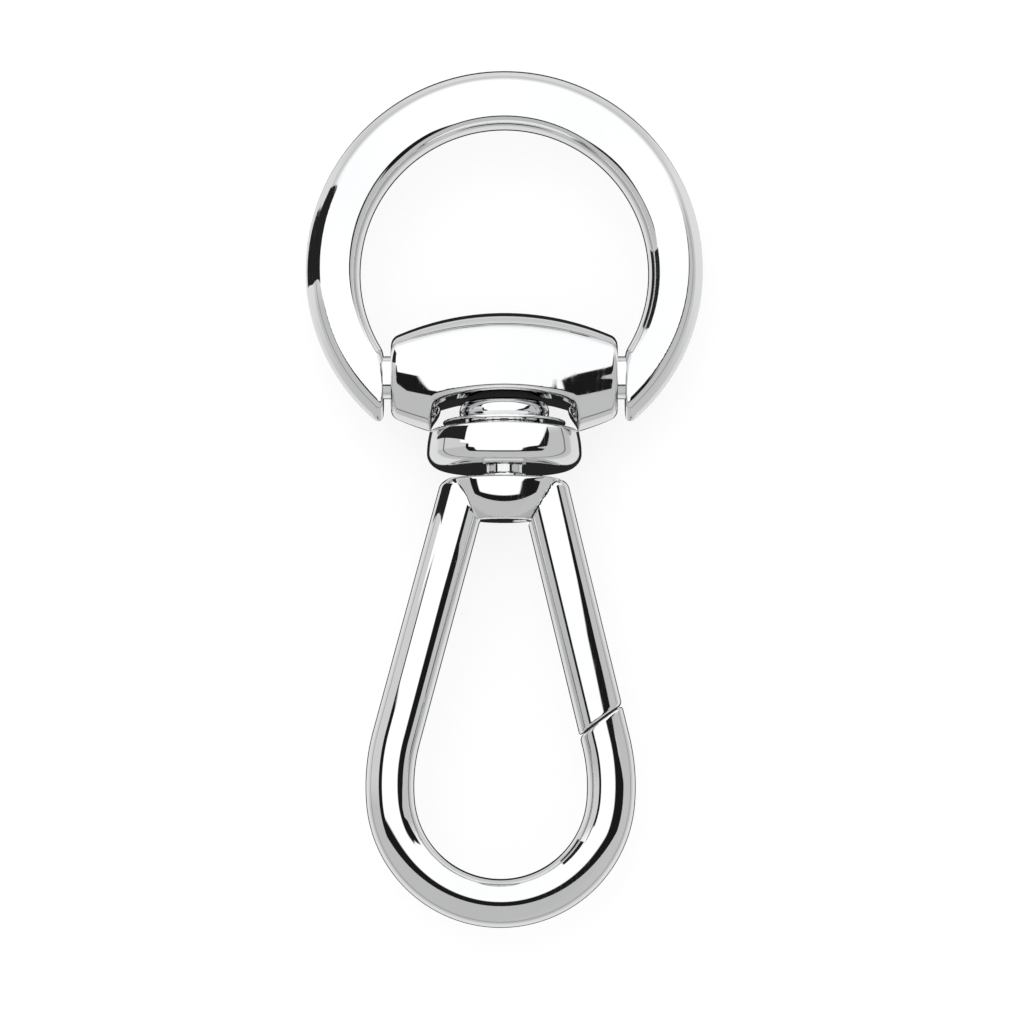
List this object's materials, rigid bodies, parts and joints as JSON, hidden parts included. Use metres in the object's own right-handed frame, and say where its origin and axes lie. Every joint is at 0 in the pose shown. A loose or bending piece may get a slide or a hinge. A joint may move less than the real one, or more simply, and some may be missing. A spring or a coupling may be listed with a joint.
{
  "type": "swivel snap hook",
  "caption": "Polished metal snap hook with a sprung gate, a swivelling block and a hinged open ring for a strap or key ring",
  "frame": {"origin": "centre of the ring's eye, on the mid-plane of the hook", "axes": "+Y runs along the swivel axis from the hook to the ring, +X to the gate side, +Z to the front"},
  "size_m": [0.0398, 0.0859, 0.0154],
  "materials": {
    "polished_metal": "mirror-polished plating",
    "pin_steel": "bright turned steel",
    "spring_steel": "drawn spring wire"
  },
  "bodies": {
    "block": {"swivel_block": "polished_metal"},
    "ring": {"bow_ring": "polished_metal", "ring_pin_left": "pin_steel", "ring_pin_right": "pin_steel"},
    "hook": {"hook_body": "polished_metal", "retaining_disc": "polished_metal", "gate_pin": "pin_steel", "gate_spring": "spring_steel"},
    "gate": {"gate": "polished_metal"}
  },
  "joints": [
    {"name": "ring_hinge", "type": "hinge", "parent": "block", "child": "ring", "pos_m": [0, -0.0105, 0], "axis": [1, 0, 0], "range_deg": [-135, 135]},
    {"name": "swivel", "type": "hinge", "parent": "block", "child": "hook", "pos_m": [0, -0.0105, 0], "axis": [0, 1, 0], "continuous": true},
    {"name": "gate_hinge", "type": "hinge", "parent": "hook", "child": "gate", "pos_m": [0.0012, -0.0231, 0], "axis": [0, 0, 1], "range_deg": [-28, 0], "stiffness_Nm_per_rad": 0.02, "springref_deg": 17.19, "deforming": ["gate_spring"]}
  ]
}
